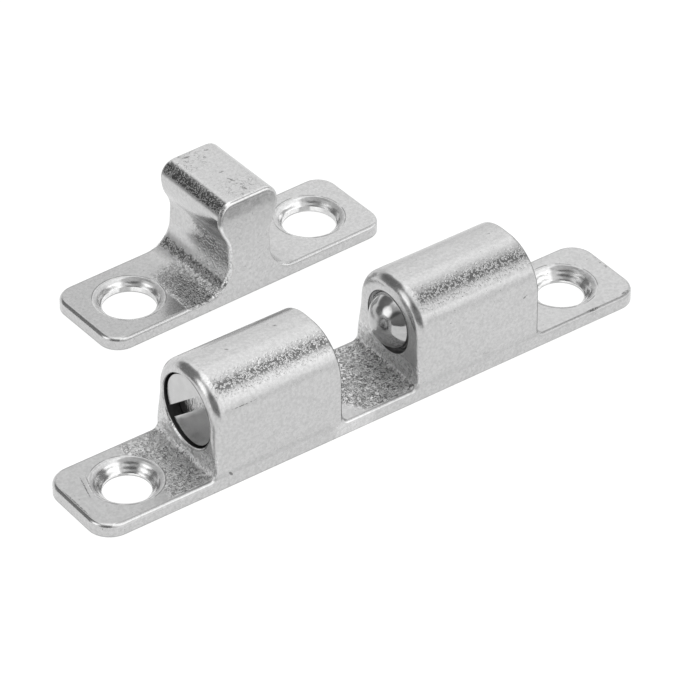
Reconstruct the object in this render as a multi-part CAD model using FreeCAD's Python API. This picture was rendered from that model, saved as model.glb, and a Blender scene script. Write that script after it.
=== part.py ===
"""Double ball catch for a cabinet door, with the strike plate that goes with it.

The catch is one casting: a long plate with two hollow barrels facing each other across a gap.
Each barrel holds a ball, a coil spring and a slotted adjusting screw, in line along X. The balls
stand out into the gap, and the strike's tongue presses them back as the door closes.

Millimetres. X runs along the catch, Y across it, and Z up from the mounting face at Z = 0.
The origin is the middle of the catch's mounting face.
"""

import FreeCAD, Part
import math
import os

Vec = FreeCAD.Vector

# Catch: plate
PLATE_LENGTH = 60.0
PLATE_WIDTH = 9.6
PLATE_THICKNESS = 1.3
PLATE_CORNER_R = 2.3
EDGE_ROUND = 0.4
CATCH_HOLE_PITCH = 48.55
CATCH_HOLE_R = 2.23
CATCH_SINK_R = 3.44

# Catch: barrels
BARREL_GAP = 8.56
BARREL_LENGTH = 13.55
BORE_HEIGHT = 4.7
CROWN_WALL = 0.88
CROWN_FLAT = 1.1
FOOT_R = 0.6
LEFT_END_DRAFT = 1.0
RIGHT_END_DRAFT = 1.6
LEFT_END_ROUND = 1.12
RIGHT_END_ROUND = 0.3

# Ball and the lip that keeps it in
BALL_R = 3.0
BALL_PROUD = 1.52
BALL_CLEARANCE = 0.05
SEAT_GAP = 0.02
LIP_LENGTH = 0.38
LIP_FLARE = 0.2

# Adjusting screw and its bore
SCREW_R = 3.55
SCREW_CLEARANCE = 0.05
SCREW_LENGTH = 3.73
SCREW_RECESS = 0.32
SCREW_CHAMFER = 0.15
SCREW_TRAVEL_IN = 1.0
SCREW_RUN_OUT = 0.4
MOUTH_CHAMFER = 0.11
DRILL_POINT_ANGLE = 59.0
SLOT_WIDTH = 1.12
SLOT_DEPTH = 1.0
LEFT_SLOT_ANGLE = 40.0
LEFT_SLOT_OFFSET = 0.35
RIGHT_SLOT_ANGLE = -24.0
RIGHT_SLOT_OFFSET = 0.0

# Spring
SPRING_WIRE = 0.55
SPRING_R = 2.45
SPRING_TURNS = 4.5
SPRING_GAP = 0.02
CLOSED_TURNS = 0.75
CLOSED_PITCH_RATIO = 1.04
POINTS_PER_TURN = 8
WIRE_SIDES = 8

# Strike: plate
STRIKE_LENGTH = 31.7
STRIKE_WIDTH = 9.95
STRIKE_THICKNESS = 1.25
STRIKE_CORNER_R = 2.05
STRIKE_HOLE_PITCH = 21.0
STRIKE_HOLE_R = 2.6
STRIKE_SINK_R = 3.45
STRIKE_X = 1.42
STRIKE_Y = 22.46
STRIKE_TURN = 1.64

# Strike: tongue
TONGUE_HEIGHT = 9.62
TONGUE_TOP_DEPTH = 9.32
TONGUE_HEAD_WIDTH = 6.75
TONGUE_NECK_WIDTH = 4.7
TONGUE_HEAD_CORNER_R = 1.6
TONGUE_NECK_TOP = 4.15
TONGUE_NECK_FOOT = 2.7
TONGUE_FOOT_R = 2.7
TONGUE_FOOT_SPREAD = 0.06
NECK_ARC_SHARE = 0.41

# Countersinks of both plates
SINK_SLOPE = 45.0
SINK_ROUND = 0.45

# How far a cutting tool reaches past the piece, and what counts as level and as a sharp edge
OVERSHOOT = 1.0
FLAT_TOLERANCE = 1e-4
SHARP_ANGLE = 5.0

BORE_Z = PLATE_THICKNESS + BORE_HEIGHT
BORE_R = SCREW_R + SCREW_CLEARANCE
BARREL_TOP = BORE_Z + BORE_R + CROWN_WALL
INNER_END = BARREL_GAP / 2
OUTER_END = INNER_END + BARREL_LENGTH
BALL_X = INNER_END + BALL_R - BALL_PROUD
SCREW_FACE_X = OUTER_END - SCREW_RECESS
SCREW_BACK_X = SCREW_FACE_X - SCREW_LENGTH


def at(x, z):
    """A point on the middle plane."""
    return Vec(x, 0, z)


def line(a, b):
    return Part.LineSegment(a, b).toShape()


def arc(a, middle, b):
    return Part.Arc(a, middle, b).toShape()


def around(centre, radius, degrees):
    """The point on a circle of the middle plane, at an angle up from +X."""
    turn = math.radians(degrees)
    return at(centre.x + radius * math.cos(turn), centre.z + radius * math.sin(turn))


def mirrored(point):
    return at(-point.x, point.z)


def across(edges, width):
    """A closed outline of the middle plane, made as thick as the plate is wide."""
    face = Part.Face(Part.Wire(edges))
    face.translate(Vec(0, -width / 2, 0))
    return face.extrude(Vec(0, width, 0))


def revolved(points):
    """A solid turned about the X axis from (x, radius) points."""
    corners = [Vec(x, r, 0) for x, r in points]
    return Part.Face(Part.makePolygon(corners + corners[:1])).revolve(Vec(0, 0, 0), Vec(1, 0, 0), 360)


def runs_along(edge, direction):
    """True for a straight edge in this direction or against it."""
    return abs(edge.tangentAt(edge.FirstParameter).dot(direction)) > 1 - FLAT_TOLERANCE


def plan_column(length, width, height, corner_r):
    """A column with the plate's outline seen from above, with round corners."""
    block = Part.makeBox(length, width, height, Vec(-length / 2, -width / 2, 0))
    upright = [e for e in block.Edges if runs_along(e, Vec(0, 0, 1))]
    return block.makeFillet(corner_r, upright)


def is_sharp(shape, edge):
    """True where the two faces beside an edge meet at an angle."""
    middle = edge.valueAt((edge.FirstParameter + edge.LastParameter) / 2)
    normals = [f.normalAt(*f.Surface.parameter(middle)) for f in shape.ancestorsOfType(edge, Part.Face)]
    return len(normals) == 2 and math.degrees(normals[0].getAngle(normals[1])) > SHARP_ANGLE


def rounded(shape, radii):
    """Rounds each sharp edge above the mounting face. radii(edge) gives its radius at both ends."""
    document = FreeCAD.newDocument("rounding")
    base = document.addObject("Part::Feature", "base")
    base.Shape = shape
    fillet = document.addObject("Part::Fillet", "fillet")
    fillet.Base = base
    sharp = [
        (number, *radii(edge))
        for number, edge in enumerate(base.Shape.Edges, start=1)
        if edge.BoundBox.ZMax > FLAT_TOLERANCE and is_sharp(base.Shape, edge)
    ]
    fillet.Edges = sharp
    document.recompute()
    result = fillet.Shape.copy()
    FreeCAD.closeDocument(document.Name)
    return result.Solids[0]


def screw_hole(x, y, thickness, hole_r, sink_r):
    """The tool for a countersunk hole with a rounded rim."""
    slope = math.radians(SINK_SLOPE)
    rim = at(sink_r, thickness)
    round_centre = at(sink_r, thickness - SINK_ROUND)
    rim_middle = around(round_centre, SINK_ROUND, 90 + SINK_SLOPE / 2)
    rim_end = around(round_centre, SINK_ROUND, 90 + SINK_SLOPE)
    cone_end = at(hole_r, rim_end.z - (rim_end.x - hole_r) * math.tan(slope))
    below = at(hole_r, -OVERSHOOT)
    above = at(sink_r, thickness + OVERSHOOT)
    outline = [
        arc(rim, rim_middle, rim_end),
        line(rim_end, cone_end),
        line(cone_end, below),
        line(below, at(0, below.z)),
        line(at(0, below.z), at(0, above.z)),
        line(at(0, above.z), above),
        line(above, rim),
    ]
    tool = Part.Face(Part.Wire(outline)).revolve(Vec(0, 0, 0), Vec(0, 0, 1), 360)
    tool.translate(Vec(x, y, 0))
    return tool


def barrel_end(middle_x, side, draft):
    """One end of a barrel seen from the side, leaning in towards its top, with a round foot.

    Gives the foot arc's three points, from the plate up, and the end's top point.
    """
    lean = math.radians(draft)
    plate_x = middle_x + side * (BORE_Z - PLATE_THICKNESS) * math.tan(lean)
    top = at(middle_x - side * (BARREL_TOP - BORE_Z) * math.tan(lean), BARREL_TOP)
    centre_x = plate_x + side * FOOT_R * (1 / math.cos(lean) - math.tan(lean))
    centre = at(centre_x, PLATE_THICKNESS + FOOT_R)
    sweep = side * (90 - draft)
    foot = [around(centre, FOOT_R, turn) for turn in (270, 270 - sweep / 2, 270 - sweep)]
    return foot, top


def barrel_side(low_x, high_x):
    """The outline of one barrel seen from the side, from its left foot to its right foot."""
    left_foot, left_top = barrel_end(low_x, -1, LEFT_END_DRAFT)
    right_foot, right_top = barrel_end(high_x, 1, RIGHT_END_DRAFT)
    edges = [
        arc(*left_foot),
        line(left_foot[-1], left_top),
        line(left_top, right_top),
        line(right_top, right_foot[-1]),
        arc(*right_foot),
    ]
    return left_foot[0], right_foot[0], edges


def catch_blank():
    """The plate with both barrels, before its edges are rounded and its holes are made."""
    half = PLATE_LENGTH / 2
    left_start, left_stop, left_barrel = barrel_side(-OUTER_END, -INNER_END)
    right_start, right_stop, right_barrel = barrel_side(INNER_END, OUTER_END)
    side = [
        line(at(-half, 0), at(-half, PLATE_THICKNESS)),
        line(at(-half, PLATE_THICKNESS), left_start),
        *left_barrel,
        line(left_stop, right_start),
        *right_barrel,
        line(right_stop, at(half, PLATE_THICKNESS)),
        line(at(half, PLATE_THICKNESS), at(half, 0)),
        line(at(half, 0), at(-half, 0)),
    ]
    return across(side, PLATE_WIDTH).common(barrel_section()).common(
        plan_column(PLATE_LENGTH, PLATE_WIDTH, BARREL_TOP, PLATE_CORNER_R)
    )


def barrel_section():
    """A bar with the barrels' cross-section: upright sides and a round top with a narrow flat."""
    half = PLATE_WIDTH / 2
    shoulder_r = (PLATE_WIDTH - CROWN_FLAT) / 2
    bar = Part.makeBox(PLATE_LENGTH, PLATE_WIDTH, BARREL_TOP, Vec(-PLATE_LENGTH / 2, -half, 0))
    crown = [
        e
        for e in bar.Edges
        if e.BoundBox.ZMin > BARREL_TOP - FLAT_TOLERANCE and runs_along(e, Vec(1, 0, 0))
    ]
    return bar.makeFillet(shoulder_r, crown)


def catch_radii(edge):
    """Edge radii of the catch. A barrel's end is rounded more from its foot up to its crown."""
    middle = edge.CenterOfMass
    foot_top = PLATE_THICKNESS + FOOT_R
    if middle.z < foot_top:
        return EDGE_ROUND, EDGE_ROUND
    barrel_middle = math.copysign((INNER_END + OUTER_END) / 2, middle.x)
    end_round = LEFT_END_ROUND if middle.x < barrel_middle else RIGHT_END_ROUND
    if edge.BoundBox.ZMin > foot_top + FLAT_TOLERANCE:
        return end_round, end_round
    first_is_low = edge.firstVertex().Point.z < edge.lastVertex().Point.z
    return (EDGE_ROUND, end_round) if first_is_low else (end_round, EDGE_ROUND)


def seat_radius():
    """The radius of the lip's edge, which the ball rests against."""
    reach = BALL_R + SEAT_GAP
    return math.sqrt(reach**2 - (BALL_X - INNER_END - LIP_LENGTH) ** 2)


def barrel_cavity():
    """The space inside the right barrel, about the X axis: lip, ball bore and threaded bore."""
    ball_bore_r = BALL_R + BALL_CLEARANCE
    seat_r = seat_radius()
    seat_x = INNER_END + LIP_LENGTH
    seat_slope = (BALL_X - seat_x) / seat_r
    bore_start = SCREW_BACK_X - SCREW_TRAVEL_IN - SCREW_RUN_OUT
    drill_depth = (BORE_R - ball_bore_r) / math.tan(math.radians(DRILL_POINT_ANGLE))
    return revolved(
        [
            (INNER_END - OVERSHOOT, 0),
            (INNER_END - OVERSHOOT, seat_r + LIP_FLARE * (1 + OVERSHOOT / LIP_LENGTH)),
            (seat_x, seat_r),
            (seat_x + (ball_bore_r - seat_r) / seat_slope, ball_bore_r),
            (bore_start - drill_depth, ball_bore_r),
            (bore_start, BORE_R),
            (OUTER_END - MOUTH_CHAMFER, BORE_R),
            (OUTER_END + OVERSHOOT, BORE_R + MOUTH_CHAMFER + OVERSHOOT),
            (OUTER_END + OVERSHOOT, 0),
        ]
    )


def on_bore(shape, side):
    """Puts a piece made about the X axis into the right barrel, or turned about into the left one."""
    placed = shape.copy()
    placed.translate(Vec(0, 0, BORE_Z))
    if side == "left":
        placed.rotate(Vec(0, 0, 0), Vec(0, 0, 1), 180)
    return placed


def catch_body():
    body = rounded(catch_blank(), catch_radii)
    for x in (-CATCH_HOLE_PITCH / 2, CATCH_HOLE_PITCH / 2):
        body = body.cut(screw_hole(x, 0, PLATE_THICKNESS, CATCH_HOLE_R, CATCH_SINK_R))
    for side in ("left", "right"):
        body = body.cut(on_bore(barrel_cavity(), side))
    return body


def ball():
    return Part.makeSphere(BALL_R, Vec(BALL_X, 0, 0), Vec(1, 0, 0))


def adjusting_screw(slot_angle, slot_offset):
    """A short headless screw with a screwdriver slot across its face."""
    body = revolved(
        [
            (SCREW_BACK_X, 0),
            (SCREW_BACK_X, SCREW_R - SCREW_CHAMFER),
            (SCREW_BACK_X + SCREW_CHAMFER, SCREW_R),
            (SCREW_FACE_X - SCREW_CHAMFER, SCREW_R),
            (SCREW_FACE_X, SCREW_R - SCREW_CHAMFER),
            (SCREW_FACE_X, 0),
        ]
    )
    reach = 2 * SCREW_R
    corner = Vec(SCREW_FACE_X - SLOT_DEPTH, -reach, slot_offset - SLOT_WIDTH / 2)
    slot = Part.makeBox(2 * SLOT_DEPTH, 2 * reach, SLOT_WIDTH, corner)
    slot.rotate(Vec(0, 0, 0), Vec(1, 0, 0), slot_angle)
    return body.cut(slot)


def spring():
    """A coil spring with closed ends, from the back of the ball to the back of the screw.

    Its wire has WIRE_SIDES flats, which keeps the hidden coil light.
    """
    seat_reach = BALL_R + SPRING_WIRE / 2 + SPRING_GAP
    start = BALL_X + math.sqrt(seat_reach**2 - SPRING_R**2)
    end = SCREW_BACK_X - SPRING_WIRE / 2 - SPRING_GAP
    closed = SPRING_WIRE * CLOSED_PITCH_RATIO
    open_turns = SPRING_TURNS - 2 * CLOSED_TURNS
    open_pitch = (end - start - 2 * CLOSED_TURNS * closed) / open_turns
    steps = round(SPRING_TURNS * POINTS_PER_TURN)
    points = []
    for step in range(steps + 1):
        turns = SPRING_TURNS * step / steps
        first = min(turns, CLOSED_TURNS) * closed
        middle = min(max(turns - CLOSED_TURNS, 0), open_turns) * open_pitch
        last = max(turns - CLOSED_TURNS - open_turns, 0) * closed
        x = start + first + middle + last
        turn = 2 * math.pi * turns
        points.append(Vec(x, SPRING_R * math.cos(turn), SPRING_R * math.sin(turn)))
    curve = Part.BSplineCurve()
    curve.interpolate(points)
    start_circle = Part.Circle(points[0], curve.tangent(curve.FirstParameter)[0], SPRING_WIRE / 2)
    corners = [start_circle.value(2 * math.pi * k / WIRE_SIDES) for k in range(WIRE_SIDES)]
    section = Part.makePolygon(corners + corners[:1])
    return Part.Wire(curve.toShape()).makePipeShell([section], True, True)


def tongue_half():
    """The right half of the tongue's outline, from the plate up to the top, as edges and their ends."""
    top = STRIKE_THICKNESS + TONGUE_HEIGHT
    head = TONGUE_HEAD_WIDTH / 2
    neck = TONGUE_NECK_WIDTH / 2
    neck_top = at(neck, STRIKE_THICKNESS + TONGUE_NECK_TOP)
    head_side = at(head, top - TONGUE_HEAD_CORNER_R)
    turn = 2 * math.atan2(head - neck, head_side.z - neck_top.z)
    both_radii = (head_side.z - neck_top.z) / math.sin(turn)
    neck_r = NECK_ARC_SHARE * both_radii
    head_r = both_radii - neck_r
    neck_centre = at(neck + neck_r, neck_top.z)
    head_centre = at(head - head_r, head_side.z)
    lean = math.degrees(turn)
    bend = around(neck_centre, neck_r, 180 - lean)
    corner_centre = at(head - TONGUE_HEAD_CORNER_R, head_side.z)
    foot_x = neck + TONGUE_FOOT_SPREAD
    neck_foot = at(foot_x, STRIKE_THICKNESS + TONGUE_NECK_FOOT)
    foot_centre = at(foot_x + TONGUE_FOOT_R, STRIKE_THICKNESS + TONGUE_FOOT_R)
    foot = at(foot_centre.x, STRIKE_THICKNESS)
    crown = at(corner_centre.x, top)
    return foot, crown, [
        (foot, around(foot_centre, TONGUE_FOOT_R, 225), neck_foot),
        (neck_foot, neck_top),
        (neck_top, around(neck_centre, neck_r, 180 - lean / 2), bend),
        (bend, around(head_centre, head_r, -lean / 2), head_side),
        (head_side, around(corner_centre, TONGUE_HEAD_CORNER_R, 45), crown),
    ]


def strike_section():
    """A bar with the strike's cross-section: the tongue's front and back lean in towards its top."""
    half = STRIKE_WIDTH / 2
    top_half = TONGUE_TOP_DEPTH / 2
    top = STRIKE_THICKNESS + TONGUE_HEIGHT
    right = [(half, 0), (half, STRIKE_THICKNESS), (top_half, top)]
    left = [(-y, z) for y, z in reversed(right)]
    start = -STRIKE_LENGTH / 2
    corners = [Vec(start, y, z) for y, z in right + left]
    return Part.Face(Part.makePolygon(corners + corners[:1])).extrude(Vec(STRIKE_LENGTH, 0, 0))


def strike_plate():
    """The plate with its tongue, in one piece, in the place where it lies beside the catch."""
    half = STRIKE_LENGTH / 2
    foot, crown, right = tongue_half()
    left = [tuple(mirrored(p) for p in reversed(points)) for points in reversed(right)]
    side = [line(*points) if len(points) == 2 else arc(*points) for points in right + left]
    side += [
        line(crown, mirrored(crown)),
        line(mirrored(foot), at(-half, STRIKE_THICKNESS)),
        line(at(-half, STRIKE_THICKNESS), at(-half, 0)),
        line(at(-half, 0), at(half, 0)),
        line(at(half, 0), at(half, STRIKE_THICKNESS)),
        line(at(half, STRIKE_THICKNESS), foot),
    ]
    column = plan_column(STRIKE_LENGTH, STRIKE_WIDTH, STRIKE_THICKNESS + TONGUE_HEIGHT, STRIKE_CORNER_R)
    blank = across(Part.sortEdges(side)[0], STRIKE_WIDTH).common(strike_section()).common(column)
    plate = rounded(blank, lambda edge: (EDGE_ROUND, EDGE_ROUND))
    for x in (-STRIKE_HOLE_PITCH / 2, STRIKE_HOLE_PITCH / 2):
        plate = plate.cut(screw_hole(x, 0, STRIKE_THICKNESS, STRIKE_HOLE_R, STRIKE_SINK_R))
    plate.rotate(Vec(0, 0, 0), Vec(0, 0, 1), STRIKE_TURN)
    plate.translate(Vec(STRIKE_X, STRIKE_Y, 0))
    return plate


def main():
    os.makedirs("parts", exist_ok=True)
    screws = {
        "left": adjusting_screw(LEFT_SLOT_ANGLE, LEFT_SLOT_OFFSET),
        "right": adjusting_screw(RIGHT_SLOT_ANGLE, RIGHT_SLOT_OFFSET),
    }
    nodes = {"catch_body": catch_body(), "strike_plate": strike_plate()}
    for side in ("left", "right"):
        nodes[f"ball_{side}"] = on_bore(ball(), side)
        nodes[f"spring_{side}"] = on_bore(spring(), side)
        nodes[f"adjusting_screw_{side}"] = on_bore(screws[side], side)
    for name, shape in nodes.items():
        print(name, "solids", len(shape.Solids), "valid", shape.isValid(), "volume", round(shape.Volume, 2))
        shape.exportStep(f"parts/{name}.step")


main()
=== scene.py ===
"""Looks for the double ball catch and its strike plate: materials, springs, studio and camera.

Metres, in the part's own frame. X runs along the catch, Z up from its mounting face.
Places in the materials and along the springs are in millimetres.
"""

import math
from types import SimpleNamespace

import bpy
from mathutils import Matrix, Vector


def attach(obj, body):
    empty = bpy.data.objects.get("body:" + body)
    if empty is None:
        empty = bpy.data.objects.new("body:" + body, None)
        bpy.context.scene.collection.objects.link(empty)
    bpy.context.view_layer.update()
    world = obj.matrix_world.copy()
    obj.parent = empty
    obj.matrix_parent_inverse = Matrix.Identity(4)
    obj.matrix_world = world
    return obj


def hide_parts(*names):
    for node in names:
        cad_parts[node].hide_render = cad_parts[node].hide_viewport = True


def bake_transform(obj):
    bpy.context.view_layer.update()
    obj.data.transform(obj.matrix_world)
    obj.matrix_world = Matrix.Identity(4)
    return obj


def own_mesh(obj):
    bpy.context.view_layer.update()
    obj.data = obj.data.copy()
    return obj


MM = 0.001

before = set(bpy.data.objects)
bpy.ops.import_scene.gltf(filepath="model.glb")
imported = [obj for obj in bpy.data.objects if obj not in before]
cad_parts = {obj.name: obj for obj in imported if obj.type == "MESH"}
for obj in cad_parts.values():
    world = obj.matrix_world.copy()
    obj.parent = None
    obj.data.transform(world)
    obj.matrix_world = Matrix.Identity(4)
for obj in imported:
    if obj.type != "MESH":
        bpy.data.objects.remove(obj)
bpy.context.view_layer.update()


# Node helper

class Nodes:
    """Makes the nodes of one tree. Inputs are numbers, colours or other nodes' sockets."""

    def __init__(self, tree):
        self.tree = tree
        tree.nodes.clear()

    def add(self, kind, settings=None, **inputs):
        """A node. Its inputs are given by name, or by number as i0, i1 and so on."""
        node = self.tree.nodes.new(kind)
        for key, value in (settings or {}).items():
            setattr(node, key, value)
        for key, value in inputs.items():
            index = int(key[1:]) if key[0] == "i" and key[1:].isdigit() else key
            self.put(node.inputs[index], value)
        return node

    def put(self, socket, value):
        if isinstance(value, bpy.types.NodeSocket):
            self.tree.links.new(value, socket)
        else:
            socket.default_value = value

    def math(self, operation, a, b=0.0, c=0.0):
        return self.add("ShaderNodeMath", {"operation": operation}, i0=a, i1=b, i2=c).outputs[0]

    def vector(self, operation, a, b=(0, 0, 0)):
        node = self.add("ShaderNodeVectorMath", {"operation": operation}, i0=a, i1=b)
        return node.outputs["Value" if operation in ("DOT_PRODUCT", "LENGTH", "DISTANCE") else "Vector"]

    def step(self, value, low, high, out_low=0.0, out_high=1.0):
        """A smooth change from out_low to out_high as the value goes from low to high."""
        node = self.add("ShaderNodeMapRange", {"interpolation_type": "SMOOTHSTEP"}, Value=value)
        for name, number in (("From Min", low), ("From Max", high), ("To Min", out_low), ("To Max", out_high)):
            self.put(node.inputs[name], number)
        return node.outputs["Result"]

    def window(self, value, low, high, soft):
        """1 between low and high, with soft ends outside them."""
        return self.product(self.step(value, low - soft, low), self.step(value, high, high + soft, 1.0, 0.0))

    def noise(self, vector, scale, detail=2.0, roughness=0.5, distortion=0.0):
        node = self.add(
            "ShaderNodeTexNoise", Vector=vector, Scale=scale, Detail=detail, Roughness=roughness, Distortion=distortion
        )
        return node.outputs["Fac"]

    def product(self, *values):
        result = values[0]
        for value in values[1:]:
            result = self.math("MULTIPLY", result, value)
        return result

    def most(self, *values):
        result = values[0]
        for value in values[1:]:
            result = self.math("MAXIMUM", result, value)
        return result

    def magnitude(self, value):
        """The value without its sign."""
        return self.math("ABSOLUTE", value)

    def without(self, mask):
        """1 where the mask is 0, and 0 where it is 1."""
        return self.math("SUBTRACT", 1.0, mask)

    def mix(self, factor, a, b):
        """A number between a and b."""
        return self.math("MULTIPLY_ADD", factor, self.math("SUBTRACT", b, a), a)

    def scaled(self, value, mask, factor):
        """The value, times the factor where the mask is 1."""
        return self.product(value, self.mix(mask, 1.0, factor))

    def places(self):
        """The place in millimetres, whole and by axis, and the way the surface faces there, by axis."""
        coords = self.add("ShaderNodeTexCoord").outputs
        mm = self.add("ShaderNodeVectorMath", {"operation": "SCALE"}, i0=coords["Object"], Scale=1 / MM).outputs[0]
        place = self.add("ShaderNodeSeparateXYZ", Vector=mm).outputs
        facing = self.add("ShaderNodeSeparateXYZ", Vector=coords["Normal"]).outputs
        return SimpleNamespace(
            mm=mm, x=place["X"], y=place["Y"], z=place["Z"], out_x=facing["X"], out_y=facing["Y"], out_z=facing["Z"]
        )

    def stroke(self, mm, start, end, width):
        """1 on a short stroke between two points, fading to 0 at half its width away."""
        along = Vector(end) - Vector(start)
        place = self.add(
            "ShaderNodeMapping", {"vector_type": "TEXTURE"}, Vector=mm, Location=(Vector(start) + Vector(end)) / 2,
            Rotation=along.to_track_quat("X", "Z").to_euler(), Scale=(along.length / 2, width / 2, width / 2),
        )
        return self.step(self.vector("LENGTH", place.outputs["Vector"]), 1.0, 0.55)

    def grey(self, value):
        return self.add("ShaderNodeCombineColor", Red=value, Green=value, Blue=value).outputs[0]

    def bump(self, height, distance, normal=None):
        """height is in shares of distance, which is in millimetres."""
        node = self.add("ShaderNodeBump", Strength=1.0, Distance=distance * MM, Height=height)
        if normal is not None:
            self.put(node.inputs["Normal"], normal)
        return node.outputs["Normal"]


def new_material(name):
    material = bpy.data.materials.new(name)
    material.use_nodes = True
    return material, Nodes(material.node_tree)


def metal(n, colour, roughness, normal):
    shader = n.add("ShaderNodeBsdfPrincipled", Metallic=1.0, Roughness=roughness, Normal=normal)
    n.put(shader.inputs["Base Color"], colour)
    n.add("ShaderNodeOutputMaterial", Surface=shader.outputs["BSDF"])


# Castings: the relief and dirt that both share

CAST_GREY = 0.60
SKIN_DARKER, SKIN_LIGHTER = 0.06, 0.035
DIRT_SHARE, GRAIN_SHINE, MARK_SHARE, DARKEST = 0.62, 0.5, 0.75, 0.75

# Heights of the relief
SAG_MM, SKIN_MM, GRAIN_MM, SPECKLE_MM, PIT_MM, RING_MM = 0.008, 0.0035, 0.1, 0.03, 0.012, 0.006

# The countersinks' turned rings, their matt outer band and the line scored round them
RING_PITCH, RING_WOBBLE = 0.34, 5.0
BAND_WIDTH, LINE_HALF_WIDTH = 0.4, 0.03
SINK_SHINY, SINK_MATT = 0.24, 0.55
# The back walls' lighter share is a painted highlight, and the right walls' tone is painted shade
SINK_TONE, BACK_WALL_HIGHLIGHT, RIGHT_WALL_SHADE, LINE_TONE = 1.15, 0.38, 0.55, 0.5


def countersinks(n, at, sinks, sink_r, hole_r):
    """Masks of the sinks' cones, their turned rings, their outer bands and the lines scored round them."""
    cones, rings, bands, scored = 0.0, 0.0, 0.0, 0.0
    wobble = n.product(n.noise(at.mm, 1.0, 2.0), RING_WOBBLE)
    for x, y in sinks:
        away = n.vector("DISTANCE", n.vector("MULTIPLY", at.mm, (1, 1, 0)), (x, y, 0))
        cone = n.product(n.window(away, hole_r - 0.02, sink_r - 0.02, 0.04), n.step(at.z, 0.05, 0.15))
        turned = n.math("SINE", n.math("MULTIPLY_ADD", away, 2 * math.pi / RING_PITCH, wobble))
        band = n.step(away, sink_r - BAND_WIDTH - 0.15, sink_r - BAND_WIDTH)
        line = n.window(away, sink_r - LINE_HALF_WIDTH, sink_r + LINE_HALF_WIDTH, 0.04)
        cones = n.most(cones, cone)
        rings = n.math("ADD", rings, n.product(cone, turned))
        bands = n.most(bands, n.product(cone, band))
        scored = n.most(scored, line)
    return cones, rings, bands, scored


def cast_material(name, areas, sinks, sink_r, hole_r, marks):
    """Plated casting: sharp grain where it wasn't rubbed smooth, pits, faint squiggles, turned countersinks."""
    material, n = new_material(name)
    at = n.places()
    area = areas(n, at)
    cones, rings, bands, scored = countersinks(n, at, sinks, sink_r, hole_r)

    # Grain is ripples with dirt in them. Speckle is separate bright grains.
    patches = n.noise(at.mm, 0.8, 2.0, 0.6)
    waves = n.step(n.noise(at.mm, 3.7, 1.5, 0.5, 1.1), 0.32, 0.66)
    grainy = n.product(area.grainy, n.step(patches, 0.36, 0.6, 0.5, 1.0), n.without(cones))
    dirt = n.product(grainy, n.step(waves, 0.55, 0.1))
    grains = n.step(n.noise(at.mm, 4.3, 1.0, 0.5), 0.48, 0.68)
    speckled = n.product(area.speckled, n.step(patches, 0.34, 0.5, 0.6, 1.0))

    # Squiggles are thin lines where a slow noise crosses its middle
    skin = n.noise(at.mm, 3.4, 3.0, 0.6)
    far_from_line = n.magnitude(n.math("SUBTRACT", n.noise(at.mm, 1.7, 1.0, 0.5), 0.5))
    lines = n.step(far_from_line, 0.022, 0.004)
    everywhere = n.product(n.step(patches, 0.52, 0.66), 0.16)
    squiggles = n.product(lines, n.math("MULTIPLY_ADD", area.worn, 0.7, everywhere))
    pits = n.step(n.noise(at.mm, 6.5, 1.0), 0.76, 0.80)
    broken = n.step(n.noise(at.mm, 5.5, 1.0), 0.36, 0.5)
    strokes = n.product(n.most(*(n.stroke(at.mm, *mark) for mark in marks)), broken)

    # The sinks' walls at the back get a painted highlight, and those at the right painted shade
    lit_back_wall = n.product(cones, n.step(at.out_y, -0.3, -0.55))
    shaded_right_wall = n.product(cones, n.window(at.out_x, -0.56, -0.28, 0.1), n.step(at.out_y, 0.0, -0.2))
    arcs = n.product(scored, n.step(n.noise(at.mm, 0.6, 1.0), 0.42, 0.52))
    tone = n.mix(cones, area.tone, n.math("MULTIPLY_ADD", lit_back_wall, BACK_WALL_HIGHLIGHT, SINK_TONE))
    tone = n.scaled(tone, shaded_right_wall, RIGHT_WALL_SHADE)
    tone = n.scaled(tone, arcs, LINE_TONE)
    roughness = n.mix(cones, area.roughness, n.mix(bands, SINK_SHINY, SINK_MATT))

    normal = n.bump(n.noise(at.mm, 0.7, 1.0, 0.5), SAG_MM)
    normal = n.bump(skin, SKIN_MM, normal)
    normal = n.bump(n.product(waves, grainy), GRAIN_MM, normal)
    normal = n.bump(n.product(grains, speckled), SPECKLE_MM, normal)
    normal = n.bump(n.math("ADD", pits, strokes), -PIT_MM, normal)
    normal = n.bump(rings, RING_MM, normal)

    grey = n.product(n.step(skin, 0.3, 0.7, CAST_GREY - SKIN_DARKER, CAST_GREY + SKIN_LIGHTER), tone)
    grey = n.product(grey, n.math("MULTIPLY_ADD", n.product(grainy, waves), GRAIN_SHINE, 1.0))
    dark = n.most(n.product(dirt, DIRT_SHARE), squiggles, pits, n.product(strokes, MARK_SHARE))
    grey = n.product(grey, n.without(n.product(dark, DARKEST)))
    metal(n, n.grey(grey), roughness, normal)
    return material


# Castings: where each kind of surface lies, and where light and shade are painted into its tone. A tone is a share of
# the plain grey, and 1 is plain.

# Height of the bores, and how far the barrels' inner and outer ends lie from the middle
BORE_Z = 6.0
BARREL_INNER, BARREL_OUTER = 4.28, 17.83
# Painted shade and painted highlight along the plates' long edges, and painted shade under their sides
EDGE_SHADE_TONE, EDGE_HIGHLIGHT_TONE, UNDERSIDE_SHADE_TONE = 0.72, 1.3, 0.78

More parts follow.
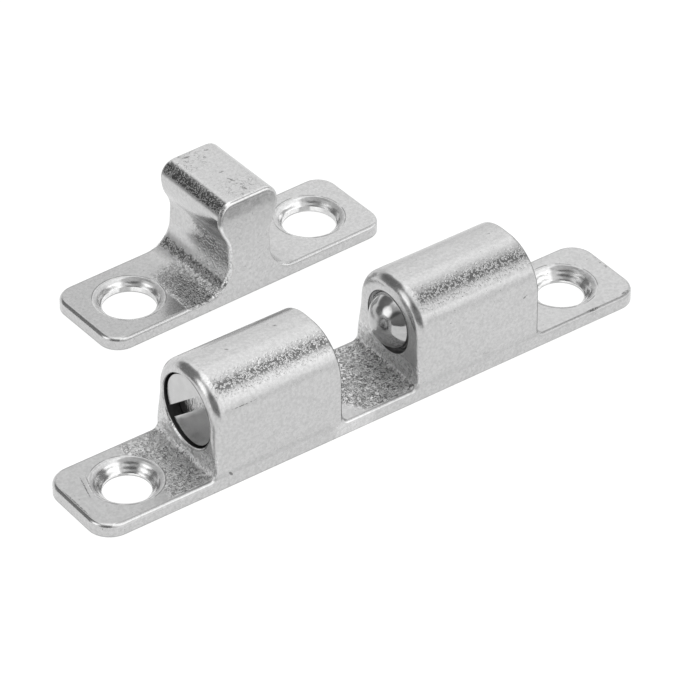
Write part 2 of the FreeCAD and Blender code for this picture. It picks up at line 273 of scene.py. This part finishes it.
# Tones on the catch. Painted shade: the plate's left part, the barrels' feet, their right ends and the near walls'
# right ends, the right shoulder, the lip's low side, the bores, the screws' mouths and the right long edge. Painted
# light: the lip's high side, the left long edge and the barrels' low ends.
CATCH_TONE = SimpleNamespace(
    shaded_left_plate=0.87, foot=0.84, light_foot=1.16, shaded_right_end=0.45, shaded_wall_end=0.35, shaded_right_shoulder=0.81,
    lip_shade_low=0.2, lip_highlight_high=1.25, inside=0.15, shaded_mouth=0.5, lit_left_edge=1.1, shaded_right_edge=0.94, end=1.2,
)
CATCH_ROUGH = SimpleNamespace(plain=0.23, shoulder=0.15, plate=0.2, edge=0.36, inside=0.45, foot=0.48)

# Tones on the strike. Painted shade: the plate's left part and the tongue's left shoulder. Painted light: the tongue's
# foot, its long edges and its upper near edge.
STRIKE_TONE = SimpleNamespace(
    shaded_left_plate=0.8, shoulder_grain_and_shade=0.42, foot_light_low=1.45, foot_light_high=1.1, foot_line=0.62, left_grain=0.72,
    edge=1.06, lit_near_edge=1.35, under_edge=0.74,
)
STRIKE_ROUGH = SimpleNamespace(plain=0.23, head=0.16, plate=0.26, edge=0.4, lit_near_edge=0.28, foot=0.36, foot_line=0.14)
STRIKE_AT, STRIKE_TURN, STRIKE_HOLES = (1.42, 22.46), math.radians(1.64), 21.0


def painted_edge_lines(n, at, long_edge):
    """Tone of a thin line of painted shade and a line of painted highlight along a plate's upper long edges, and
    painted shade under its sides.
    """
    low = n.product(long_edge, n.step(at.z, 1.6, 1.5))
    shade_line = n.product(low, n.window(at.out_z, 0.88, 0.985, 0.01))
    highlight_line = n.product(low, n.window(at.out_z, 0.55, 0.84, 0.04))
    under = n.product(n.step(at.z, 0.14, 0.05), n.step(n.magnitude(at.out_z), 0.3, 0.2))
    tone = n.scaled(n.mix(shade_line, 1.0, EDGE_SHADE_TONE), highlight_line, EDGE_HIGHLIGHT_TONE)
    return n.scaled(tone, under, UNDERSIDE_SHADE_TONE)


def off_bore_axis(n, at):
    return n.vector("DISTANCE", n.vector("MULTIPLY", at.mm, (0, 1, 1)), (0, 0, BORE_Z))


def catch_areas(n, at):
    """Grain beside the barrels, low on their ends and on their shoulders. Painted shade darkens the bores, the screws'
    mouths, the barrels' feet and their right ends. Dull long edges, with painted light and shade along them.
    """
    x, y, z = at.x, at.y, at.z
    far, off_middle = n.magnitude(x), n.magnitude(y)

    # Grain on the plate, but not along its edges nor on the light foot beside the left barrel
    slant = n.math("MULTIPLY_ADD", y, 0.59, x)
    light_foot = n.product(n.window(x, -4.6, 0.0, 0.9), n.step(slant, -3.1, -4.5), n.step(z, 2.0, 1.6))
    bare = n.most(light_foot, n.step(off_middle, 4.34, 4.42))
    stronger_between = n.step(far, 5.0, 4.5, 1.0, 1.3)
    plate = n.product(n.step(z, 2.6, 1.6), n.step(at.out_z, 0.2, 0.7), n.window(x, -21.6, 16.0, 1.4))
    plate = n.product(plate, n.without(bare), stronger_between)

    # Low on the barrels' ends, and on their near shoulders
    ends = n.product(n.step(n.magnitude(at.out_x), 0.5, 0.85), n.step(z, 4.6, 2.4), n.step(z, 1.2, 1.5))
    shoulder = n.product(
        n.step(at.out_z, 0.56, 0.72), n.step(at.out_z, 0.97, 0.92), n.step(z, 7.0, 7.8),
        n.step(n.magnitude(at.out_x), 0.3, 0.1), n.step(at.out_y, 0.0, -0.2),
    )

    # Painted shade on the plate's top towards its left end and round the barrels' feet, on the barrels' right ends
    # with a thin line at the near walls' right ends, and on the right barrel's shoulder
    top = n.product(n.step(z, 1.7, 1.5), n.step(at.out_z, 0.8, 0.95))
    shaded_feet = n.product(top, n.most(n.window(x, 2.6, 4.4, 2.6), n.window(x, -19.0, -17.8, 1.8)))
    shaded_right_end = n.product(n.window(at.out_x, 0.42, 0.85, 0.12), n.step(z, 1.9, 2.4))
    shaded_wall_end = n.product(
        n.most(*(n.window(x, end - 0.14, end + 0.08, 0.03) for end in (-BARREL_INNER, BARREL_OUTER))),
        n.step(at.out_y, -0.3, -0.6), n.step(z, 1.5, 1.9),
    )
    shaded_right_shoulder = n.product(n.window(at.out_z, 0.62, 0.93, 0.06), n.step(x, 3.0, 4.0))
    tone = n.mix(top, 1.0, n.step(x, -18.0, 16.0, CATCH_TONE.shaded_left_plate, 1.0))
    tone = n.scaled(tone, shaded_feet, CATCH_TONE.foot)
    tone = n.scaled(tone, light_foot, CATCH_TONE.light_foot)
    tone = n.scaled(tone, shaded_right_end, CATCH_TONE.shaded_right_end)
    tone = n.scaled(tone, shaded_wall_end, CATCH_TONE.shaded_wall_end)
    tone = n.scaled(tone, shaded_right_shoulder, CATCH_TONE.shaded_right_shoulder)

    # The lip that holds each ball, the bore behind it and the mouth round each screw: painted shade on the lip's low
    # side, in the bore and on one side of each mouth, and a painted highlight on the lip's high side
    off_axis = off_bore_axis(n, at)
    at_lip = n.step(far, 4.6, 4.45)
    lip = n.product(n.window(off_axis, 2.84, 3.075, 0.01), at_lip)
    shaded_rim = n.product(n.window(off_axis, 3.0, 3.075, 0.02), at_lip)
    bore = n.product(n.step(off_axis, 3.62, 3.60), n.step(far, 4.6, 4.7))
    inside = n.most(shaded_rim, bore)
    shaded_mouth = n.product(
        n.window(off_axis, 3.7, 3.78, 0.05), n.step(far, 17.6, 17.75),
        n.step(n.product(y, n.math("SIGN", x)), -1.0, 1.0),
    )
    lip_tone = n.step(z, BORE_Z - 1.4, BORE_Z + 0.8, CATCH_TONE.lip_shade_low, CATCH_TONE.lip_highlight_high)
    tone = n.scaled(tone, lip, lip_tone)
    tone = n.mix(inside, tone, CATCH_TONE.inside)
    tone = n.scaled(tone, shaded_mouth, CATCH_TONE.shaded_mouth)

    # The plate's long edges: painted light along the left part and painted shade along the right, and the painted edge
    # lines, weaker towards the right
    edge = n.product(n.step(off_middle, 4.36, 4.46), n.window(z, 0.86, 1.26, 0.03), n.step(at.out_z, 0.03, 0.12))
    lines = painted_edge_lines(n, at, n.step(off_middle, 4.38, 4.42))
    tone = n.scaled(tone, edge, n.step(x, -19.0, 19.0, CATCH_TONE.lit_left_edge, CATCH_TONE.shaded_right_edge))
    tone = n.scaled(tone, n.step(x, -5.0, 20.0, 1.0, 0.5), lines)
    # Painted light on the barrels' ends low down
    tone = n.scaled(tone, ends, CATCH_TONE.end)

    foot = n.window(z, 1.32, 1.8, 0.1)
    roughness = n.most(
        n.mix(shoulder, CATCH_ROUGH.plain, CATCH_ROUGH.shoulder),
        n.product(edge, CATCH_ROUGH.edge),
        n.product(n.most(inside, lip), CATCH_ROUGH.inside),
        n.product(n.most(ends, foot), CATCH_ROUGH.foot),
        n.product(plate, CATCH_ROUGH.plate),
    )
    grainy = n.most(plate, n.product(ends, 0.55))
    return SimpleNamespace(grainy=grainy, speckled=shoulder, worn=0.0, tone=tone, roughness=roughness)


def strike_areas(n, at):
    """Grain round the tongue's foot and neck, and on its left shoulder. Dull long edges."""
    x, y, z = at.x, at.y, at.z

    # Grain on the plate at the tongue's left, nearer half
    plate = n.product(n.step(z, 2.2, 1.5), n.step(at.out_z, 0.2, 0.7), n.window(x, -5.0, 0.6, 0.9))
    grainy = n.product(plate, n.step(y, 25.5, 21.5))

    # The tongue's left side: a dull foot made light by painted light low down, with a ragged dark line, a speckled
    # neck, and a grainy shoulder dark with painted shade
    leftward = n.step(at.out_x, -0.2, -0.4)
    foot = n.product(leftward, n.step(z, 4.4, 3.6), n.step(x, -6.4, -5.8))
    ragged = n.math("MULTIPLY_ADD", n.noise(at.mm, 2.2, 2.0, 0.6), 0.5, -0.25)
    foot_line = n.product(foot, n.window(n.math("ADD", z, ragged), 1.82, 2.2, 0.2))
    neck = n.product(leftward, n.window(z, 2.4, 5.8, 0.9), n.step(y, 24.5, 19.5))
    high = n.step(z, 8.4, 9.0)
    head = n.product(n.step(at.out_x, -0.25, -0.5), high)
    shoulder_grain_and_shade = n.product(n.step(at.out_x, -0.25, -0.6), n.step(at.out_x, -0.99, -0.93), high)
    speckled = n.most(shoulder_grain_and_shade, n.product(foot_line, 1.3), n.product(neck, 2.2))

    # Worn on two spots of the top, and faintly on the near face
    worn = n.product(n.step(at.out_y, -0.85, -0.97), 0.22)
    for spot in ((0.4, 25.6, 10.87), (1.9, 19.6, 10.87)):
        worn = n.most(worn, n.step(n.vector("DISTANCE", at.mm, spot), 2.1, 1.2))

    top = n.product(n.step(z, 1.7, 1.4), n.step(at.out_z, 0.8, 0.95))
    # Painted light on the tongue's left foot, strongest low down
    foot_tone = n.step(z, 2.0, 2.4, STRIKE_TONE.foot_light_low, STRIKE_TONE.foot_light_high)
    # Painted shade on the plate's top towards its left end
    tone = n.mix(top, 1.0, n.step(x, -12.0, 12.0, STRIKE_TONE.shaded_left_plate, 1.0))
    # Painted shade on the tongue's left shoulder
    tone = n.scaled(tone, shoulder_grain_and_shade, STRIKE_TONE.shoulder_grain_and_shade)
    tone = n.scaled(tone, foot, n.mix(foot_line, foot_tone, STRIKE_TONE.foot_line))
    tone = n.scaled(tone, n.product(grainy, n.step(x, -1.0, -2.5)), STRIKE_TONE.left_grain)

    # The plate's long edges and the tongue's upper near edge, lightened by painted light, and the smudges under that
    across = n.vector("DOT_PRODUCT", at.mm, (-math.sin(STRIKE_TURN), math.cos(STRIKE_TURN), 0))
    middle = STRIKE_AT[1] * math.cos(STRIKE_TURN) - STRIKE_AT[0] * math.sin(STRIKE_TURN)
    off_middle = n.magnitude(n.math("SUBTRACT", across, middle))
    edge = n.product(n.step(off_middle, 4.53, 4.63), n.window(z, 0.82, 1.2, 0.03), n.step(at.out_z, 0.03, 0.12))
    lit_near_edge = n.product(n.window(at.out_y, -0.9, -0.35, 0.08), n.step(z, 1.5, 1.9), n.step(at.out_x, 0.35, 0.15))
    under_edge = n.product(n.step(at.out_y, -0.9, -0.98), n.window(z, 9.5, 10.1, 0.8))
    smudged = n.step(n.noise(at.mm, 1.4, 3.0, 0.6), 0.35, 0.6, 0.3, 1.0)
    tone = n.scaled(tone, edge, STRIKE_TONE.edge)
    tone = n.scaled(tone, lit_near_edge, STRIKE_TONE.lit_near_edge)
    # Painted shade and highlight lines along the long edges
    tone = n.product(tone, painted_edge_lines(n, at, n.step(off_middle, 4.55, 4.6)))
    tone = n.scaled(tone, n.product(under_edge, smudged), STRIKE_TONE.under_edge)

    roughness = n.most(
        n.mix(head, STRIKE_ROUGH.plain, STRIKE_ROUGH.head),
        n.product(edge, STRIKE_ROUGH.edge),
        n.product(lit_near_edge, STRIKE_ROUGH.lit_near_edge),
        n.product(plate, STRIKE_ROUGH.plate),
    )
    roughness = n.mix(foot, roughness, n.mix(foot_line, STRIKE_ROUGH.foot, STRIKE_ROUGH.foot_line))
    return SimpleNamespace(grainy=grainy, speckled=speckled, worn=worn, tone=tone, roughness=roughness)


# Short strokes and nicks: two ends and a width
CATCH_MARKS = (
    ((-7.95, 0.85, 10.48), (-7.45, 0.6, 10.48), 0.22), ((-13.3, 0.6, 10.48), (-13.0, 0.2, 10.48), 0.2),
    ((-16.4, -4.4, 8.05), (-12.8, -4.4, 8.0), 0.11), ((-16.7, -4.8, 1.75), (-16.2, -4.8, 1.1), 0.3),
    ((15.8, 0.6, 10.48), (16.2, 0.5, 10.48), 0.2), ((15.9, -4.8, 6.3), (16.5, -4.8, 6.6), 0.25),
    ((23.6, -4.55, 1.25), (25.2, -4.6, 1.22), 0.35), ((27.9, -4.4, 1.28), (29.1, -4.2, 1.3), 0.4),
    ((29.6, 1.9, 1.3), (29.6, 1.4, 1.3), 0.28), ((29.5, 0.9, 1.3), (29.5, 0.5, 1.3), 0.28),
    ((29.6, 0.2, 1.3), (29.5, -0.3, 1.3), 0.28), ((-29.65, 2.6, 1.26), (-29.65, -3.0, 1.26), 0.2),
    ((-27.3, 3.1, 1.3), (-28.3, -0.5, 1.3), 0.16), ((-26.8, 2.9, 1.3), (-27.8, -0.3, 1.3), 0.14),
)
STRIKE_MARKS = (
    ((-0.2, 26.3, 10.87), (0.9, 26.15, 10.87), 0.35), ((2.3, 26.25, 10.87), (2.9, 26.0, 10.87), 0.3),
    ((1.4, 22.45, 10.87), (2.0, 22.35, 10.87), 0.3), ((1.5, 21.4, 10.87), (1.9, 20.3, 10.87), 0.3),
    ((1.8, 19.6, 10.87), (2.05, 18.6, 10.87), 0.32),
)

CATCH_SINKS, CATCH_SINK_R, CATCH_HOLE_R = ((-24.275, 0.0), (24.275, 0.0)), 3.44, 2.23
STRIKE_SINK_R, STRIKE_HOLE_R = 3.45, 2.6
STRIKE_SINKS = [
    (
        STRIKE_AT[0] + side * STRIKE_HOLES / 2 * math.cos(STRIKE_TURN),
        STRIKE_AT[1] + side * STRIKE_HOLES / 2 * math.sin(STRIKE_TURN),
    )
    for side in (-1, 1)
]


# Ball, screws and springs

# How far the floors of the screws' slots lie from the middle
SLOT_FLOOR = 16.51
SCREW_RING_PITCH, SCREW_RIM_R = 0.13, 3.34


def ball_material():
    """Polished steel with a faint haze, duller at the tips, where the tongue rubs."""
    material, n = new_material("ball_steel")
    at = n.places()
    haze = n.noise(at.mm, 1.6, 3.0, 0.6)
    scuff = n.noise(at.mm, 12.0, 2.0, 0.6)
    rubbed = n.step(n.magnitude(at.out_x), 0.79, 0.83)
    grey = n.step(haze, 0.3, 0.7, 0.46, 0.53)
    roughness = n.mix(rubbed, n.step(haze, 0.35, 0.75, 0.06, 0.14), 0.2)
    metal(n, n.grey(grey), roughness, n.bump(scuff, 0.0012))
    return material


def screw_material():
    """Turned steel: very fine rings about the screw's axis, painted shade on the rim, a bright milled slot floor."""
    material, n = new_material("screw_steel")
    at = n.places()
    off_axis = off_bore_axis(n, at)
    wobble = n.noise(at.mm, 0.8, 2.0)
    turned = n.math("SINE", n.math("MULTIPLY_ADD", off_axis, 2 * math.pi / SCREW_RING_PITCH, wobble))
    cloud = n.noise(at.mm, 1.1, 3.0, 0.6)
    slot_floor = n.step(n.magnitude(at.x), SLOT_FLOOR + 0.3, SLOT_FLOOR + 0.1)
    shaded_rim = n.step(off_axis, SCREW_RIM_R, SCREW_RIM_R + 0.08)
    milled = n.noise(n.vector("MULTIPLY", at.mm, (1, 6, 0.7)), 1.0, 2.0, 0.6)
    grey = n.scaled(n.step(cloud, 0.3, 0.7, 0.54, 0.60), slot_floor, 1.2)
    # Painted shade on the screw's rim
    grey = n.scaled(grey, shaded_rim, 0.25)
    roughness = n.mix(slot_floor, n.step(cloud, 0.3, 0.7, 0.16, 0.24), 0.08)
    normal = n.bump(turned, 0.0006)
    normal = n.bump(n.product(milled, slot_floor), 0.05, normal)
    metal(n, n.grey(grey), roughness, normal)
    return material


def spring_material():
    """Drawn steel wire with fine marks."""
    material, n = new_material("spring_wire")
    drawn = n.noise(n.places().mm, 7.0, 2.0)
    grey = n.step(drawn, 0.3, 0.7, 0.42, 0.5)
    metal(n, n.grey(grey), n.step(drawn, 0.3, 0.7, 0.28, 0.36), n.bump(drawn, 0.004))
    return material


def repaint(node, material):
    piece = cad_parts[node]
    piece.data.materials.clear()
    piece.data.materials.append(material)


catch_metal = cast_material("catch_casting", catch_areas, CATCH_SINKS, CATCH_SINK_R, CATCH_HOLE_R, CATCH_MARKS)
strike_metal = cast_material("strike_casting", strike_areas, STRIKE_SINKS, STRIKE_SINK_R, STRIKE_HOLE_R, STRIKE_MARKS)
ball_steel = ball_material()
screw_steel = screw_material()
wire_steel = spring_material()
repaint("catch_body", catch_metal)
repaint("strike_plate", strike_metal)
for side in ("left", "right"):
    repaint(f"ball_{side}", ball_steel)
    repaint(f"adjusting_screw_{side}", screw_steel)
    repaint(f"spring_{side}", wire_steel)


# Springs of round wire, along the same coils as the frame's

WIRE_R, COIL_R, COIL_TURNS = 0.275, 2.45, 4.5
CLOSED_TURNS, CLOSED_PITCH = 0.75, 0.572
COIL_START, COIL_END = 7.963, 13.485
STEPS_PER_TURN, WIRE_SIDES = 40, 16
# Rings of a wire's domed end: how far ahead of the end, and how thick, in shares of the wire's radius
DOME = ((0.5, 0.86), (0.9, 0.43))


def coil_line(outward):
    """Points along the wire's middle, from the ball to the screw."""
    open_turns = COIL_TURNS - 2 * CLOSED_TURNS
    open_pitch = (COIL_END - COIL_START - 2 * CLOSED_TURNS * CLOSED_PITCH) / open_turns
    points = []
    for step in range(round(COIL_TURNS * STEPS_PER_TURN) + 1):
        turns = step / STEPS_PER_TURN
        x = COIL_START + min(turns, CLOSED_TURNS) * CLOSED_PITCH
        x += min(max(turns - CLOSED_TURNS, 0), open_turns) * open_pitch
        x += max(turns - CLOSED_TURNS - open_turns, 0) * CLOSED_PITCH
        turn = 2 * math.pi * turns
        points.append(Vector((outward * x, outward * COIL_R * math.cos(turn), BORE_Z + COIL_R * math.sin(turn))))
    return points


def make_coil(name, line):
    """A tube of round wire along a line, with domed ends."""
    verts, faces = [], []
    end = len(line) - 1
    rings = [(0, -ahead, share) for ahead, share in reversed(DOME)]
    rings += [(i, 0.0, 1.0) for i in range(len(line))]
    rings += [(end, ahead, share) for ahead, share in DOME]
    for i, ahead, share in rings:
        along = (line[min(i + 1, end)] - line[max(i - 1, 0)]).normalized()
        off_axis = (line[i] - Vector((line[i].x, 0, BORE_Z))).normalized()
        off_axis = (off_axis - along * off_axis.dot(along)).normalized()
        across = along.cross(off_axis)
        middle = line[i] + along * ahead * WIRE_R
        for k in range(WIRE_SIDES):
            turn = 2 * math.pi * k / WIRE_SIDES
            verts.append((middle + (off_axis * math.cos(turn) + across * math.sin(turn)) * WIRE_R * share) * MM)
    for ring in range(len(rings) - 1):
        for k in range(WIRE_SIDES):
            a, b = ring * WIRE_SIDES + k, ring * WIRE_SIDES + (k + 1) % WIRE_SIDES
            faces.append((a, b, b + WIRE_SIDES, a + WIRE_SIDES))
    last = (len(rings) - 1) * WIRE_SIDES
    faces.append(tuple(reversed(range(WIRE_SIDES))))
    faces.append(tuple(range(last, last + WIRE_SIDES)))
    mesh = bpy.data.meshes.new(name)
    mesh.from_pydata(verts, [], faces)
    mesh.shade_smooth()
    mesh.materials.append(wire_steel)
    coil = bpy.data.objects.new(name, mesh)
    bpy.context.scene.collection.objects.link(coil)
    return coil


def make_spring(side, outward):
    """One coil in two lengths that meet halfway: the first by the ball, the second by the screw."""
    line = coil_line(outward)
    halfway = len(line) // 2
    near_ball = make_coil(f"spring_wire_{side}_ball", line[:halfway + 1])
    near_screw = make_coil(f"spring_wire_{side}_screw", line[halfway:])
    for coil in (near_ball, near_screw):
        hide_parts(f"spring_{side}")
    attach(near_ball, "root")
    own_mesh(near_ball)
    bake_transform(near_screw)


make_spring("left", -1)
make_spring("right", 1)


# Camera

AZIMUTH, ELEVATION = math.radians(-36.137), math.radians(37.204)
TARGET = Vector((3.844, 6.741, 0.0)) * MM
DISTANCE_MM, SENSOR_MM, LENS_MM = 418.70, 36.0, 241.40
CLIP_NEAR, CLIP_FAR = 0.01, 10.0

back = Vector((
    math.sin(AZIMUTH) * math.cos(ELEVATION), -math.cos(AZIMUTH) * math.cos(ELEVATION), math.sin(ELEVATION)
))
camera = bpy.data.objects.new("camera", bpy.data.cameras.new("camera"))
bpy.context.scene.collection.objects.link(camera)
camera.data.sensor_width = SENSOR_MM
camera.data.lens = LENS_MM
camera.data.clip_start = CLIP_NEAR
camera.data.clip_end = CLIP_FAR
camera.location = TARGET + back * DISTANCE_MM * MM
camera.rotation_mode = "QUATERNION"
camera.rotation_quaternion = (-back).to_track_quat("-Z", "Y")
bpy.context.scene.camera = camera


# Studio

FLOOR_HALF, FLOOR_BELOW = 3.0, 0.00002
PAPER, SEEN_PAPER = 0.9, 0.2
GLOW_REFLECTED, GLOW_SEEN = 0.82, 0.9


def floor_material():
    """White to the camera and in reflections, with a faint shadow; plain pale paper to other rays."""
    material, n = new_material("floor_paper")
    rays = n.add("ShaderNodeLightPath").outputs
    seen = n.most(rays["Is Camera Ray"], rays["Is Glossy Ray"], rays["Is Transmission Ray"])
    paper = n.add("ShaderNodeBsdfDiffuse", Color=(PAPER, PAPER, PAPER, 1))
    pale = n.add("ShaderNodeBsdfDiffuse", Color=(SEEN_PAPER, SEEN_PAPER, SEEN_PAPER, 1))
    strength = n.mix(rays["Is Camera Ray"], GLOW_REFLECTED, GLOW_SEEN)
    glow = n.add("ShaderNodeEmission", Color=(1, 1, 1, 1), Strength=strength)
    lit = n.add("ShaderNodeAddShader", i0=pale.outputs[0], i1=glow.outputs[0])
    both = n.add("ShaderNodeMixShader", i0=seen, i1=paper.outputs[0], i2=lit.outputs[0])
    n.add("ShaderNodeOutputMaterial", Surface=both.outputs[0])
    return material


def make_floor():
    mesh = bpy.data.meshes.new("floor")
    corners = [(x * FLOOR_HALF, y * FLOOR_HALF, -FLOOR_BELOW) for x, y in ((-1, -1), (1, -1), (1, 1), (-1, 1))]
    mesh.from_pydata(corners, [], [(0, 1, 2, 3)])
    floor = bpy.data.objects.new("floor", mesh)
    bpy.context.scene.collection.objects.link(floor)
    mesh.materials.append(floor_material())


# The tent's light by the angle about the X axis, from straight up (0) towards the front: angle, level
TENT = (
    (-180, 0.95), (-120, 0.97), (-100, 1.0), (-71, 0.97), (-59, 0.98), (-47, 1.04), (-35, 1.22), (-23, 1.22),
    (-11, 1.12), (-1, 0.98), (7, 0.6), (13, 0.3), (25, 0.28), (31, 0.45), (37, 0.82), (47, 1.36), (56, 1.28),
    (63, 1.08), (73, 1.02), (85, 0.86), (97, 0.96), (120, 1.0), (180, 0.95),
)
TENT_TOP = 1.6
# Round patches: direction, the angles in degrees where they begin to fade and end, and strength
DARK_PATCHES = (
    ((-0.40, 0.66, 0.63), 19, 32, 0.8), ((-0.68, -0.63, 0.37), 24, 38, 0.8),
    ((-0.60, 0.12, 0.79), 5, 15, 0.42), ((-0.74, 0.64, 0.22), 12, 22, 0.8),
)
LAMP_PATCHES = (((-0.82, 0.18, 0.53), 14, 22, 0.7), ((0.04, 0.08, 1.0), 16, 25, 0.5))


def make_world():
    """A white tent: strip lamps overhead and in front, a lamp at the left, and dark between and behind them."""
    world = bpy.data.worlds.new("studio")
    bpy.context.scene.world = world
    world.use_nodes = True
    n = Nodes(world.node_tree)
    way = n.add("ShaderNodeTexCoord").outputs["Generated"]
    part = n.add("ShaderNodeSeparateXYZ", Vector=way).outputs
    turn = n.math("ARCTAN2", n.product(part["Y"], -1.0), part["Z"])
    curve = n.add("ShaderNodeFloatCurve", Factor=1.0, Value=n.math("MULTIPLY_ADD", turn, 0.5 / math.pi, 0.5))
    points = curve.mapping.curves[0].points
    while len(points) < len(TENT):
        points.new(0.5, 0.5)
    for point, (angle, level) in zip(points, TENT):
        point.location = (angle / 360 + 0.5, level / TENT_TOP)
    curve.mapping.update()

    def patch(direction, inner, outer, strength):
        """The strength within the inner angle of a direction, fading to 0 at the outer one."""
        along = n.vector("DOT_PRODUCT", way, tuple(Vector(direction).normalized()))
        return n.product(n.step(along, math.cos(math.radians(outer)), math.cos(math.radians(inner))), strength)

    bright_left = n.product(n.step(part["X"], 0.38, 0.22), n.window(turn, math.radians(-40), math.radians(75), 0.3))
    above = n.step(part["Z"], -0.26, -0.14)
    dark = n.product(n.most(*(patch(*row) for row in DARK_PATCHES)), above)
    level = n.product(curve.outputs["Value"], TENT_TOP)
    level = n.mix(bright_left, level, n.most(level, n.step(part["X"], -0.45, -0.25, 0.6, 1.2)))
    level = n.product(level, n.without(dark))
    for row in LAMP_PATCHES:
        level = n.math("ADD", level, patch(*row))

    light = n.add("ShaderNodeBackground", Color=n.grey(level), Strength=1.0)
    white = n.add("ShaderNodeBackground", Color=(1, 1, 1, 1), Strength=1.0)
    seen = n.add("ShaderNodeLightPath").outputs["Is Camera Ray"]
    both = n.add("ShaderNodeMixShader", i0=seen, i1=light.outputs[0], i2=white.outputs[0])
    n.add("ShaderNodeOutputWorld", Surface=both.outputs[0])


def softbox(name, direction, distance, size, power):
    """A square lamp that faces the object."""
    lamp = bpy.data.lights.new(name, "AREA")
    lamp.shape = "SQUARE"
    lamp.size = size
    lamp.energy = power
    holder = bpy.data.objects.new(name, lamp)
    bpy.context.scene.collection.objects.link(holder)
    way = Vector(direction).normalized()
    holder.location = way * distance
    holder.rotation_mode = "QUATERNION"
    holder.rotation_quaternion = (-way).to_track_quat("-Z", "Y")
    holder.visible_camera = False


make_floor()
make_world()
softbox("softbox_front_right", direction=(0.47, -0.80, 0.42), distance=0.6, size=0.22, power=0.03)

bpy.context.scene.view_settings.view_transform = "Standard"
